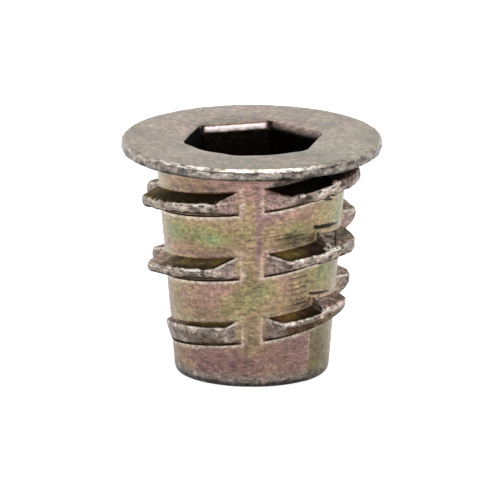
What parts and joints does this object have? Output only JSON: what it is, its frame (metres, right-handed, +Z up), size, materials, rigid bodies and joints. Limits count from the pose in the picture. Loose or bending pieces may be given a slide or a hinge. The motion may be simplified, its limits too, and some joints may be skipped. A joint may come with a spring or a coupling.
{
  "type": "threaded insert",
  "caption": "Flanged hexagon-drive threaded insert for wood: a tapered cast body with a coarse interrupted outer thread and a metric threaded bore.",
  "frame": {"origin": "centre of the lower end face, on the bore axis, where the part stands", "axes": "+Z up along the bore axis from the lower end to the flange, -Y toward the viewer, +X to the viewer's right"},
  "size_m": [0.0175, 0.0174, 0.016],
  "materials": {
    "cast_zinc": "satin, yellow iridescent chromate over cast metal"
  },
  "bodies": {
    "root": {"insert": "cast_zinc"}
  },
  "joints": []
}
